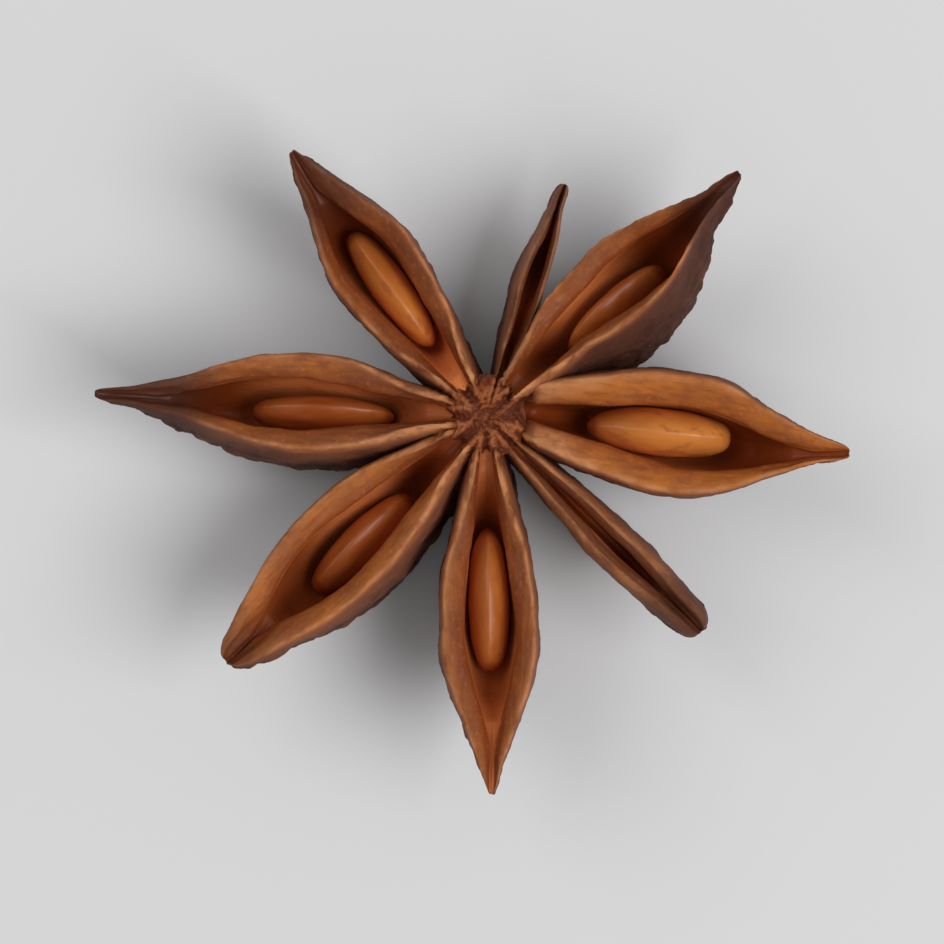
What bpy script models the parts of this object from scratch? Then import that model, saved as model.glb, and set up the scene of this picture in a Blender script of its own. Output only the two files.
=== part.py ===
"""Star anise pod, lying with its open side up.

Eight boat-shaped carpels stand round a short woody column. Six of them have split open along their
upper seam and hold one flattened seed each. The other two stayed narrow and empty. The husk of
carpels and column is one solid, and every seed is a solid of its own that lies loose in its carpel.

Metres, +Z up, origin at the bottom centre of the box. Sizes below are in millimetres.
"""

import math
from dataclasses import dataclass

import bmesh
import bpy
from mathutils import Vector

MM = 0.001

# Husk: how the carpels are joined to the column, and what they stand on.
FLOOR_DEPTH = 6.85  # from the lips of a level carpel down to the surface it lies on
ROLL_PIVOT = 2.0  # depth of the axis about which a carpel leans
ROLL_REACH = 0.35  # share of the length over which its lean sets in
INNER_END = 1.2  # radius at which a carpel's walls end, inside the column
HUB_DIP = 0.7  # how far the lips sink towards the column

# Section of a carpel.
LIP_SHOULDER = 0.5  # how far the outer edge of a lip drops below its crest
LIP_BEVEL = 0.6  # how far its inner edge drops
LIP_CREST = 0.22  # where its crest lies, as a share of the lip's width from the outer edge
THIN_CREST = 0.66  # the same where the lip is thin
THIN_SHOULDER = 1.3  # how much deeper the outer edge of a thin lip drops
THIN_REACH = (0.14, 0.36)  # shares of the length between which thin lips turn into broad ones
LIP_BAND = 0.38  # drop halfway over a lip's inner face, as a share of the inner edge's
WIDEST_GAPE = 0.72  # the opening's greatest share of the width
SHIFT_LIMIT = 0.4  # the most it lies off the middle, as a share of a lip's width
CAVITY_SHARE = 0.8  # depth of a seed cavity as a share of the carpel's depth
SHALLOWEST = 0.5  # depth of the groove in a closed beak
FULL_CAVITY = 0.55  # share of the gape at which the cavity reaches its whole depth
UNDERCUT = 0.12  # how much wider the cavity is below the lips than between them
CAVITY_WALL = ((1.0, 0.22), (0.86, 0.60), (0.50, 0.88))  # shares of its half-width and its depth
KEEL_HALF_WIDTH = 0.28
KEEL_FLAT = 0.6  # half-width of the flat under the keel as a share of that
BELLY = 0.10  # how far the walls bulge below the lips, as a share of the half-width
FLARE_REACH = 0.38  # share of the length over which their flare at the column dies out
CREASE = 0.09  # half-opening of the closed part of the seam, as a share of the gape
SLENDER = 0.6  # share of the widest half-width below which a section's details shrink with it

# Outline and keel line of a carpel.
SIDE_HOLLOW = 1.35  # above 1 the sides run in hollow towards the column
CLOSING_CURVE = 1.8  # above 1 the opening runs out into the crease without a corner
BLUNT_END = 0.05  # length of the rounded tip as a share of the carpel's
BLUNTEST = 0.45  # width of the last section as a share of the one where the rounding starts
KEEL_START = 0.22  # where the keel line starts on a half wave, and how much of one it spans
KEEL_SPAN = 0.70
KEEL_END = 0.45  # share of the length over which the keel rises to the tip
KEEL_CURVE = 0.8  # below 1 it rises late
RIPPLE = 0.025  # waviness of the keel as a share of its depth
RIPPLE_PITCH = 19.0  # radians of a wave over the carpel's length
TIP_DEPTH = 0.07  # depth of the tip as a share of the deepest section

# Column: radius and depth below the lips, from the stalk scar up to the pit in the crown.
COLUMN_PROFILE = (
    (1.15, 5.70),
    (1.35, 6.05),
    (1.80, 6.00),
    (1.95, 5.55),
    (1.65, 4.60),
    (1.55, 2.60),
    (1.75, 1.30),
    (1.62, 0.85),
    (0.95, 0.72),
    (0.40, 1.00),
)
SCAR_DEPTH = 5.80
PIT_DEPTH = 1.15
LOBE_HEIGHT = 0.30  # knobs of the crown, one at each carpel
LOBE_SPREAD = 17.0  # half-width of a knob in degrees
LOBE_REACH = 0.12  # how far a knob stands out sideways, as a share of the radius
LOBE_DEPTH = 2.0  # depth at which the knobs fade out

# Fineness of the faceted solids.
STATIONS = 15
CROWDING = 1.25  # above 1 the sections crowd towards the tip
OUTER_POINTS = 5
COLUMN_SIDES = 40
SEED_RINGS = 11
SEED_SIDES = 14

# Seeds.
SEED_FULLNESS = 0.85  # below 1 the ends are blunter than an oval's, seen from above
SEED_EDGE = 0.80  # the same seen from the side


@dataclass(frozen=True)
class Carpel:
    """One follicle. The bearing runs anticlockwise from +X, and its left side is anticlockwise too."""

    name: str
    bearing: float  # degrees
    length: float  # from the column's axis to the tip
    half_width: float  # over the lips, at the widest
    gape: float  # half the opening between the lips, at the widest
    depth: float  # from the lips to the keel
    widest: float = 0.55  # where along the length it is widest
    beak: float = 1.1  # how slender the outer end is
    tip: float = 0.1  # half-width of the tip as a share of half_width
    heel: float = 0.16  # the same at the column
    shut: float = 0.97  # where along the length the lips meet
    closing: float = 0.42  # share of the length over which they run together
    shift: float = 0.0  # how far the opening lies to the left of the middle
    swing: float = 0.0  # how far the inner end lies to the left of the bearing
    roll: float = 0.0  # lean in degrees: above 0 shows more of the right wall
    rise: float = 0.6  # how far the tip lies above the other carpels' lips
    drop: float = 0.0  # how far the whole carpel sits below the others
    wave: float = 0.0  # phase of the keel's waviness, in radians
    flare: float = 0.45  # how far the walls bulge at the column, where the carpels grow together
    pinch: float = 1.0  # how far the lips narrow to thin crests at the column, from 0 to 1
    thin: float = 0.0  # how far they are thin all along, from 0 to 1

    def width_share(self, s):
        """Half-width at s, from 0 at the column's axis to 1 at the tip, as a share of half_width."""
        if s < self.widest:
            swell = math.sin(0.5 * math.pi * s / self.widest)
            return self.heel + (1.0 - self.heel) * swell**SIDE_HOLLOW
        fall = math.cos(0.5 * math.pi * (s - self.widest) / (1.0 - self.widest))
        share = self.tip + (1.0 - self.tip) * max(fall, 0.0) ** self.beak
        past = min(1.0, max(0.0, 1.0 - (1.0 - s) / BLUNT_END))
        return share * (BLUNTEST + (1.0 - BLUNTEST) * math.sqrt(1.0 - past * past))

    def gape_share(self, s):
        """Half-opening at s as a share of gape. It closes to a crease before the tip."""
        closes = min(1.0, max(0.0, (self.shut - s) / self.closing))
        opens = min(1.0, s / self.widest)
        return max(CREASE, opens * math.sin(0.5 * math.pi * closes) ** CLOSING_CURVE)

    def depth_share(self, s):
        """Depth of the keel at s as a share of depth."""
        belly = math.sin(math.pi * min(1.0, max(0.0, KEEL_START + KEEL_SPAN * s)))
        ending = math.sin(0.5 * math.pi * min(1.0, (1.0 - s) / KEEL_END)) ** KEEL_CURVE
        ripple = 1.0 + RIPPLE * math.sin(RIPPLE_PITCH * s + self.wave)
        return (TIP_DEPTH + (1.0 - TIP_DEPTH) * belly * ending) * ripple

    def thinness(self, s):
        """How thin the lips are at s, from 0 to 1."""
        low, high = THIN_REACH
        t = min(1.0, max(0.0, (high - s) / (high - low)))
        return max(self.thin, self.pinch * t * t * (3.0 - 2.0 * t))

    def place(self, s, across, height):
        """Point of the pod at s along the carpel, across to its left, and height above its lips."""
        lean = math.radians(self.roll) * min(1.0, s / ROLL_REACH)
        below = height + ROLL_PIVOT
        y = across * math.cos(lean) + below * math.sin(lean) + self.swing * (1.0 - s) ** 2
        z = below * math.cos(lean) - across * math.sin(lean) - ROLL_PIVOT
        z += self.rise * s**3 - HUB_DIP * (1.0 - s) ** 3 - self.drop
        z = max(z, -FLOOR_DEPTH)
        turn = math.radians(self.bearing)
        x = self.length * s
        return Vector(
            (
                MM * (x * math.cos(turn) - y * math.sin(turn)),
                MM * (x * math.sin(turn) + y * math.cos(turn)),
                MM * z,
            )
        )


@dataclass(frozen=True)
class Seed:
    """One seed, flattened sideways and lying on edge in its carpel."""

    carpel: str
    middle: float  # where along the carpel its middle lies, from 0 to 1
    length: float
    half_width: float
    half_height: float
    top: float  # how far its upper edge lies below the lips
    aside: float = 0.0  # how far it lies to the left of the carpel's middle


CARPELS = (
    Carpel("e", -5.7, 15.7, 2.72, 1.36, 6.9, widest=0.53, beak=1.8, tip=0.14, heel=0.32,
           shut=0.98, closing=0.46, shift=-0.30, swing=0.5, wave=0.4, pinch=0.15),
    Carpel("ne", 41.0, 15.1, 1.95, 1.20, 7.0, beak=2.4, tip=0.14, heel=0.20,
           shut=1.06, closing=0.38, shift=-0.15, roll=23.0, rise=0.9, wave=2.1),
    Carpel("nne", 72.0, 10.6, 0.64, 0.30, 5.0, tip=0.40, heel=0.20,
           shift=-0.05, roll=-5.0, rise=-0.5, drop=0.9, wave=3.3, flare=0.0, thin=0.7),
    Carpel("nw", 126.2, 14.1, 2.00, 1.15, 6.9, widest=0.55, beak=1.5, tip=0.14, heel=0.20,
           shut=0.93, closing=0.36, shift=0.20, rise=0.2, wave=5.0),
    Carpel("w", 178.0, 16.8, 2.25, 1.15, 7.0, widest=0.47, beak=2.2, tip=0.14, heel=0.20,
           shut=0.90, closing=0.38, roll=-12.0, wave=1.2),
    Carpel("sw", 224.8, 15.3, 2.30, 1.30, 7.0, widest=0.55, beak=1.15, tip=0.30, heel=0.20,
           shut=0.97, closing=0.40, shift=-0.10, roll=-12.0, wave=4.2),
    Carpel("s", 270.9, 16.2, 2.15, 1.16, 6.9, widest=0.56, beak=1.35, tip=0.10, heel=0.16,
           shut=0.95, closing=0.42, shift=0.10, rise=0.4, wave=0.0),
    Carpel("se", 315.4, 13.1, 1.02, 0.26, 6.2, widest=0.62, beak=0.85, tip=0.68, heel=0.25,
           roll=-1.0, rise=-0.3, drop=0.5, wave=2.6, flare=0.25, thin=0.65),
)

SEEDS = (
    Seed("e", 0.478, 6.1, 1.02, 1.75, 0.70, aside=-0.03),
    Seed("ne", 0.480, 5.4, 0.74, 1.75, 0.95, aside=-0.05),
    Seed("nw", 0.483, 6.0, 0.76, 1.75, 0.80, aside=0.02),
    Seed("w", 0.415, 6.0, 0.76, 1.70, 0.95),
    Seed("sw", 0.495, 5.8, 0.88, 1.75, 1.05),
    Seed("s", 0.487, 6.0, 0.80, 1.75, 0.75, aside=0.02),
)


def clear_scene():
    """Removes what a new file starts with."""
    for leftover in list(bpy.data.objects):
        bpy.data.objects.remove(leftover, do_unlink=True)


def finish(name, colour, roughness):
    """A plain surface in one colour."""
    material = bpy.data.materials.new(name)
    material.use_nodes = True
    shader = material.node_tree.nodes["Principled BSDF"]
    shader.inputs["Base Color"].default_value = (*colour, 1.0)
    shader.inputs["Roughness"].default_value = roughness
    shader.inputs["Metallic"].default_value = 0.0
    return material


def add_object(name, shape, material=None):
    """Closes a bmesh into a smooth-shaded object."""
    bmesh.ops.recalc_face_normals(shape, faces=shape.faces)
    mesh = bpy.data.meshes.new(name)
    shape.to_mesh(mesh)
    shape.free()
    mesh.shade_smooth()
    mesh.set_sharp_from_angle(angle=math.radians(50.0))
    if material:
        mesh.materials.append(material)
    thing = bpy.data.objects.new(name, mesh)
    bpy.context.collection.objects.link(thing)
    return thing


def join_rings(shape, rings):
    """Skins equal rings of vertices one after another."""
    for lower, upper in zip(rings, rings[1:]):
        for i in range(len(lower)):
            j = (i + 1) % len(lower)
            shape.faces.new((lower[i], lower[j], upper[j], upper[i]))


def close_to_point(shape, ring, point):
    """Closes the end of a skin with a fan to one point."""
    apex = shape.verts.new(point)
    for i in range(len(ring)):
        shape.faces.new((ring[i], ring[(i + 1) % len(ring)], apex))


def half_section(carpel, s):
    """Half of a carpel's wall in section at s, from the keel over the lip to the cavity.

    Each point is (distance from the middle, height above the lips). The depth of the cavity's floor
    comes with them.
    """
    width = carpel.half_width * carpel.width_share(s)
    opening = min(carpel.gape * carpel.gape_share(s), WIDEST_GAPE * width)
    depth = carpel.depth * carpel.depth_share(s)
    size = min(1.0, width / (SLENDER * carpel.half_width))
    slim = carpel.thinness(s)
    shoulder = LIP_SHOULDER * size * (1.0 + THIN_SHOULDER * slim)
    bevel = LIP_BEVEL * size
    keel = min(KEEL_HALF_WIDTH, 0.5 * width)
    bulge = BELLY * width + carpel.flare * max(0.0, 1.0 - s / FLARE_REACH)
    outer = []
    for i in range(OUTER_POINTS):
        turn = 0.5 * math.pi * (1.0 - i / OUTER_POINTS)
        across = keel + (width - keel) * math.cos(turn) + bulge * math.sin(2.0 * turn)
        outer.append((across if i else KEEL_FLAT * keel, -shoulder - (depth - shoulder) * math.sin(turn)))
    top = width - (LIP_CREST + (THIN_CREST - LIP_CREST) * slim) * (width - opening)
    crest = [
        (width, -shoulder),
        (top, 0.0),
        (0.5 * (top + opening), -LIP_BAND * bevel),
        (opening, -bevel),
    ]
    cavity = CAVITY_SHARE * depth * min(1.0, opening / (FULL_CAVITY * carpel.gape))
    floor = max(SHALLOWEST * size + bevel, cavity)
    hollow = opening + UNDERCUT * size
    inner = [(across * hollow, -bevel - down * (floor - bevel)) for across, down in CAVITY_WALL]
    return outer + crest + inner, floor


def carpel_shell(carpel):
    """The boat-shaped shell of one carpel, open along the top."""
    shape = bmesh.new()
    first = INNER_END / carpel.length
    rings = []
    for i in range(STATIONS):
        share = i / (STATIONS - 1)
        s = first + (1.0 - first) * (1.0 - (1.0 - share) ** CROWDING)
        half, floor = half_section(carpel, s)
        wall, inner = half[: OUTER_POINTS + 2], half[OUTER_POINTS + 2 :]
        (width, _), (opening, _) = wall[-2], inner[1]
        most = SHIFT_LIMIT * (width - opening)
        shift = min(most, max(-most, carpel.shift * math.sin(math.pi * s**3)))
        outline = [carpel.place(s, -across, height) for across, height in wall]
        outline += [carpel.place(s, shift - across, height) for across, height in inner]
        outline.append(carpel.place(s, shift, -floor))
        outline += [carpel.place(s, shift + across, height) for across, height in reversed(inner)]
        outline += [carpel.place(s, across, height) for across, height in reversed(wall)]
        rings.append([shape.verts.new(point) for point in outline])
    join_rings(shape, rings)
    shape.faces.new(rings[0])
    shape.faces.new(rings[-1])
    return add_object("carpel_" + carpel.name, shape)


def lobe(angle):
    """From 0 between two carpels to 1 in line with one. The angle is in degrees."""
    gaps = [abs((angle - carpel.bearing + 180.0) % 360.0 - 180.0) for carpel in CARPELS]
    return max(0.0, math.cos(0.5 * math.pi * min(1.0, min(gaps) / LOBE_SPREAD)))


def column(material):
    """The woody column, with the stalk scar below and a knobbly crown above."""
    shape = bmesh.new()
    rings = []
    for radius, depth in COLUMN_PROFILE:
        upper = max(0.0, 1.0 - depth / LOBE_DEPTH)
        ring = []
        for i in range(COLUMN_SIDES):
            turn = 2.0 * math.pi * i / COLUMN_SIDES
            knob = upper * lobe(math.degrees(turn)) * min(1.0, radius)
            reach = MM * radius * (1.0 + LOBE_REACH * knob)
            height = MM * (LOBE_HEIGHT * knob - depth)
            ring.append(shape.verts.new((reach * math.cos(turn), reach * math.sin(turn), height)))
        rings.append(ring)
    join_rings(shape, rings)
    close_to_point(shape, rings[0], (0.0, 0.0, -MM * SCAR_DEPTH))
    close_to_point(shape, rings[-1], (0.0, 0.0, -MM * PIT_DEPTH))
    return add_object("pod", shape, material)


def fuse(body, shells):
    """Joins the carpels to the column as one solid."""
    for shell in shells:
        shell.hide_render = True
        shell.display_type = "WIRE"
        shell.hide_set(True)
        union = body.modifiers.new(shell.name, "BOOLEAN")
        union.operation = "UNION"
        union.solver = "EXACT"
        union.object = shell


def seed_solid(seed, material):
    """A pointed, flattened oval that follows its carpel's lean."""
    carpel = next(carpel for carpel in CARPELS if carpel.name == seed.carpel)
    half_length = 0.5 * seed.length / carpel.length
    level = -seed.top - seed.half_height
    shape = bmesh.new()
    rings = []
    for i in range(1, SEED_RINGS + 1):
        along = -math.cos(math.pi * i / (SEED_RINGS + 1))
        swell = math.sqrt(1.0 - along * along)
        s = seed.middle + half_length * along
        ring = []
        for k in range(SEED_SIDES):
            turn = 2.0 * math.pi * k / SEED_SIDES
            across = seed.aside + seed.half_width * swell**SEED_FULLNESS * math.cos(turn)
            height = level + seed.half_height * swell**SEED_EDGE * math.sin(turn)
            ring.append(shape.verts.new(carpel.place(s, across, height)))
        rings.append(ring)
    join_rings(shape, rings)
    close_to_point(shape, rings[0], carpel.place(seed.middle - half_length, seed.aside, level))
    close_to_point(shape, rings[-1], carpel.place(seed.middle + half_length, seed.aside, level))
    return add_object("seed_" + seed.carpel, shape, material)


def stand_at_origin(things, guides):
    """Moves everything so that the origin is the bottom centre of the whole box."""
    corners = [vertex.co for thing in things + guides for vertex in thing.data.vertices]
    low = [min(corner[axis] for corner in corners) for axis in range(3)]
    high = [max(corner[axis] for corner in corners) for axis in range(3)]
    shift = Vector((-0.5 * (low[0] + high[0]), -0.5 * (low[1] + high[1]), -low[2]))
    for thing in things + guides:
        thing.location = shift


def main():
    """Builds the pod and its seeds."""
    clear_scene()
    husk_finish = finish("husk", (0.20, 0.075, 0.03), 0.6)
    seed_finish = finish("seed_coat", (0.26, 0.08, 0.02), 0.25)
    pod = column(husk_finish)
    shells = [carpel_shell(carpel) for carpel in CARPELS]
    fuse(pod, shells)
    seeds = [seed_solid(seed, seed_finish) for seed in SEEDS]
    stand_at_origin([pod] + seeds, shells)


main()
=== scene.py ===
"""The looks of a dried star anise pod: eight woody carpels on a column, with six glossy seeds.

Sizes in the classes are in millimetres and in degrees, and MM turns them into the frame's metres.
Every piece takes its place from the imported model: the husk from the box of the pod, and each seed
from the box of its own solid.
"""

import logging
import math
from dataclasses import dataclass, field
from enum import Enum
from typing import ClassVar

import bpy
import numpy as np
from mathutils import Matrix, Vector


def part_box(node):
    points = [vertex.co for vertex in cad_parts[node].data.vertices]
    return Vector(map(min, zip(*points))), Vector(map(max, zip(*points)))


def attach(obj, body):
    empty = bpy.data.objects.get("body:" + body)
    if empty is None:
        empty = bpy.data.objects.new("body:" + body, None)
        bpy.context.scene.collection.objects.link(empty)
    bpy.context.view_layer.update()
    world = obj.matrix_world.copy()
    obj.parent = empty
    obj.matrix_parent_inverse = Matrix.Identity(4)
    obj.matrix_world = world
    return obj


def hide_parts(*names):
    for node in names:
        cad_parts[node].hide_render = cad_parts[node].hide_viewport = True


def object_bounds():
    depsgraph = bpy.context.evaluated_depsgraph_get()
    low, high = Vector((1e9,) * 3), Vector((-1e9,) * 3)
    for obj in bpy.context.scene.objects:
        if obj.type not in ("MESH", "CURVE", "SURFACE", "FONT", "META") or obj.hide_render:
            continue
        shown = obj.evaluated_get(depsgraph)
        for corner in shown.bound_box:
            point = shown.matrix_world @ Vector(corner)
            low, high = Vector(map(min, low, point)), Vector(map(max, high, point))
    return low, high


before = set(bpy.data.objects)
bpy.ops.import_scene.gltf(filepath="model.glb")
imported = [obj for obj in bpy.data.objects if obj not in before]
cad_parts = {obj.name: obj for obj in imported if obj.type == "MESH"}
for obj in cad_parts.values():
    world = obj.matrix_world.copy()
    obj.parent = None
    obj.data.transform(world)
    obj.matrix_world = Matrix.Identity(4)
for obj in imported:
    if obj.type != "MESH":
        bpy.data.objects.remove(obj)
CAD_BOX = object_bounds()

MM = 0.001
Array = np.ndarray
Colour = tuple[float, float, float]
log = logging.getLogger("star_anise")


class Mark(Enum):
    """What is written on the points of a piece for its finish to read."""

    WALL = "wall"  # 1 on the outside of the husk
    RIM = "rim"  # 1 on the crest of a lip
    LIP = "lip"  # 1 on the broad face of a lip
    EDGE = "edge"  # from 0 on the crest of a lip to 1 at its inner edge
    LINING = "lining"  # 1 inside a seed cavity
    LOW = "low"  # from 0 at the lips to 1 at the keel
    CROWN = "crown"  # 1 on top of the column
    DARK_TIP_AND_PAINTED_SHADE = "beak"  # 1 at the dark tip of a carpel, and where painted shade darkens its outside
    DULL = "dull"  # 1 where the lips are greyer brown
    TONE_AND_PAINTED_LIGHT = "tone"  # from 0, dark and red, to 1, light and tan; above 1 a painted highlight, and inside a cavity painted light and shade
    RELIEF = "relief"  # how far a point stands out, in millimetres
    GRAIN = "grain"  # place in the piece's own directions, in millimetres


def smooth(low: float, high: float, values: Array) -> Array:
    """Eases from 0 at low to 1 at high.

    Args:
        low: where the rise starts.
        high: where it ends.
        values: any array.

    Returns:
        The eased values, from 0 to 1.
    """
    t = np.clip((values - low) / (high - low), 0.0, 1.0)
    return t * t * (3.0 - 2.0 * t)


def bell(values: Array, centre: float, spread: float) -> Array:
    """A bell of height 1 round a centre.

    Args:
        values: any array.
        centre: where the bell peaks.
        spread: its half-width at 1/e.

    Returns:
        The bell's height at each value.
    """
    return np.exp(-(((values - centre) / spread) ** 2))


class Noise:
    """Seeded smooth noise in space, for lumps and wrinkles."""

    def __init__(self, seed: int) -> None:
        """Draws the slopes of a repeating lattice.

        Args:
            seed: what the draw starts from.
        """
        draw = np.random.default_rng(seed)
        self.order = draw.permutation(256)
        slopes = draw.normal(size=(256, 3))
        self.slopes = slopes / np.linalg.norm(slopes, axis=1, keepdims=True)

    def at(self, points: Array) -> Array:
        """Noise between about -1 and 1.

        Args:
            points: places as an array of (..., 3), one unit to a lattice cell.

        Returns:
            One value for each place.
        """
        cell = np.floor(points).astype(int)
        inside = points - cell
        ease = inside**3 * (inside * (inside * 6.0 - 15.0) + 10.0)
        total = np.zeros(points.shape[:-1])
        for corner in range(8):
            step = np.array([(corner >> axis) & 1 for axis in range(3)])
            x, y, z = np.moveaxis((cell + step) & 255, -1, 0)
            slope = self.slopes[self.order[(self.order[(self.order[x] + y) & 255] + z) & 255]]
            weight = np.prod(np.where(step, ease, 1.0 - ease), axis=-1)
            total += weight * np.sum(slope * (inside - step), axis=-1)
        return 1.6 * total

    def lumps(self, points: Array, layers: int = 3) -> Array:
        """Noise with finer and fainter layers added.

        Args:
            points: places as for at().
            layers: how many, each twice as fine and half as strong as the last.

        Returns:
            One value for each place.
        """
        total = np.zeros(points.shape[:-1])
        for layer in range(layers):
            total += 0.5**layer * self.at(points * 2.0**layer + 17.3 * layer)
        return total

    def pads(self, points: Array, layers: int = 2) -> Array:
        """Rounded pads with sharp furrows between them, like shrunken skin.

        Args:
            points: places as for at().
            layers: how many, as for lumps().

        Returns:
            One value for each place, from -1 in the furrows to about 1 on the pads.
        """
        total = np.zeros(points.shape[:-1])
        for layer in range(layers):
            total += 0.5**layer * (3.0 * np.abs(self.at(points * 1.9**layer + 9.1 * layer)) - 1.0)
        return total / 1.5

    def shaken(self, points: Array, reach: float) -> Array:
        """The same places pushed about, so that noise on them loses its even grain.

        Args:
            points: places as for at().
            reach: how far they move at most.

        Returns:
            An array of the same shape.
        """
        pushes = [self.lumps(0.8 * points + offset, 2) for offset in (3.7, 31.9, 57.1)]
        return points + reach * np.stack(pushes, axis=-1)


def spline(knots: Array, shares: list[int]) -> Array:
    """Samples a smooth curve through knots.

    Args:
        knots: array of (curves, knots, 2).
        shares: how many points each stretch between two knots gets.

    Returns:
        Array of (curves, points, 2). The last knot is left out.
    """
    first = 2.0 * knots[:, :1] - knots[:, 1:2]
    last = 2.0 * knots[:, -1:] - knots[:, -2:-1]
    padded = np.concatenate([first, knots, last], axis=1)
    found = []
    for k, count in enumerate(shares):
        t = (np.arange(count) / count)[None, :, None]
        a, b, c, d = (padded[:, k + i][:, None] for i in range(4))
        linear = c - a
        square = 2.0 * a - 5.0 * b + 4.0 * c - d
        cube = 3.0 * b - a - 3.0 * c + d
        found.append(0.5 * (2.0 * b + linear * t + square * t**2 + cube * t**3))
    return np.concatenate(found, axis=1)


class Skin:
    """A closed surface on a grid of rings, with the marks for its finish and a flat map."""

    def __init__(self, name: str, points: Array, marks: dict[Mark, Array]) -> None:
        """Keeps the grid.

        Args:
            name: the piece's name.
            points: array of (rows, columns, 3) in millimetres, the columns closing into a ring.
            marks: arrays of (rows, columns), or of (rows, columns, 3).
        """
        self.name = name
        self.points = points
        self.marks = marks

    def outward(self) -> Array:
        """Directions out of the surface.

        Returns:
            One unit vector for each point.
        """
        along = np.gradient(self.points, axis=0)
        around = np.roll(self.points, -1, axis=1) - np.roll(self.points, 1, axis=1)
        found = np.cross(around, along)
        return found / np.maximum(np.linalg.norm(found, axis=-1, keepdims=True), 1e-9)

    def raise_by(self, relief: Array) -> None:
        """Moves every point out by its relief, and marks it."""
        self.points = self.points + self.outward() * relief[..., None]
        self.marks[Mark.RELIEF] = relief

    def build(self, material: bpy.types.Material, seat: Vector) -> bpy.types.Object:
        """Makes the piece, shades it smooth and rides it on the pod.

        Args:
            material: its finish.
            seat: where the grid's origin stands, in metres.

        Returns:
            The new object.
        """
        rows, columns = self.points.shape[:2]
        ends = np.stack([self.points[0].mean(axis=0), self.points[-1].mean(axis=0)])
        places = np.concatenate([self.points.reshape(-1, 3), ends]) * MM + np.array(seat)
        index = np.arange(rows * columns).reshape(rows, columns)
        after = np.roll(index, -1, axis=1)
        quads = np.stack([index[:-1], after[:-1], after[1:], index[1:]], axis=-1).reshape(-1, 4)
        first = np.full(columns, rows * columns)
        fans = np.concatenate(
            [
                np.stack([after[0], index[0], first], axis=-1),
                np.stack([index[-1], after[-1], first + 1], axis=-1),
            ]
        )
        mesh = bpy.data.meshes.new(self.name)
        mesh.from_pydata(places.tolist(), [], quads.tolist() + fans.tolist())
        self.lay_map(mesh)
        self.write_marks(mesh)
        mesh.shade_smooth()
        mesh.materials.append(material)
        piece = bpy.data.objects.new(self.name, mesh)
        bpy.context.scene.collection.objects.link(piece)
        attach(piece, "root")
        return piece

    def lay_map(self, mesh: bpy.types.Mesh) -> None:
        """Lays the surface out flat, the rings across and the rows up.

        Args:
            mesh: the mesh of build(), its quads first and then the two fans.
        """
        rows, columns = self.points.shape[:2]
        edge = 0.02
        u = edge + (1.0 - 2.0 * edge) * np.arange(columns + 1) / columns
        v = edge + (1.0 - 2.0 * edge) * np.arange(rows) / (rows - 1)
        i, j = np.meshgrid(np.arange(rows - 1), np.arange(columns), indexing="ij")
        corners = [(j, i), (j + 1, i), (j + 1, i + 1), (j, i + 1)]
        quads = np.stack([np.stack([u[a], v[b]], axis=-1) for a, b in corners], axis=2)
        flat = [quads.reshape(-1)]
        this, after = u[:-1], u[1:]
        bottom, top = 0.3 * edge, 1.0 - 0.3 * edge
        for near, tip, left, right in ((v[0], bottom, after, this), (v[-1], top, this, after)):
            fan = [(left, near), (right, near), (0.5 * (this + after), tip)]
            spots = [np.stack([a, np.full(columns, b)], axis=-1) for a, b in fan]
            flat.append(np.stack(spots, axis=1).reshape(-1))
        layer = mesh.uv_layers.new(name="OFBake")
        layer.data.foreach_set("uv", np.concatenate(flat).astype(np.float32))

    def write_marks(self, mesh: bpy.types.Mesh) -> None:
        """Writes every mark to the mesh's points.

        Args:
            mesh: the mesh of build(), its grid first and then the points of its two ends.
        """
        for mark, values in self.marks.items():
            wide = values.ndim == 3
            flat = values.reshape(-1, 3) if wide else values.reshape(-1)
            ends = np.stack([values[0].mean(axis=0), values[-1].mean(axis=0)])
            layer = mesh.attributes.new(mark.value, "FLOAT_VECTOR" if wide else "FLOAT", "POINT")
            told = np.concatenate([flat, ends]).astype(np.float32)
            layer.data.foreach_set("vector" if wide else "value", told.reshape(-1))


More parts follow.
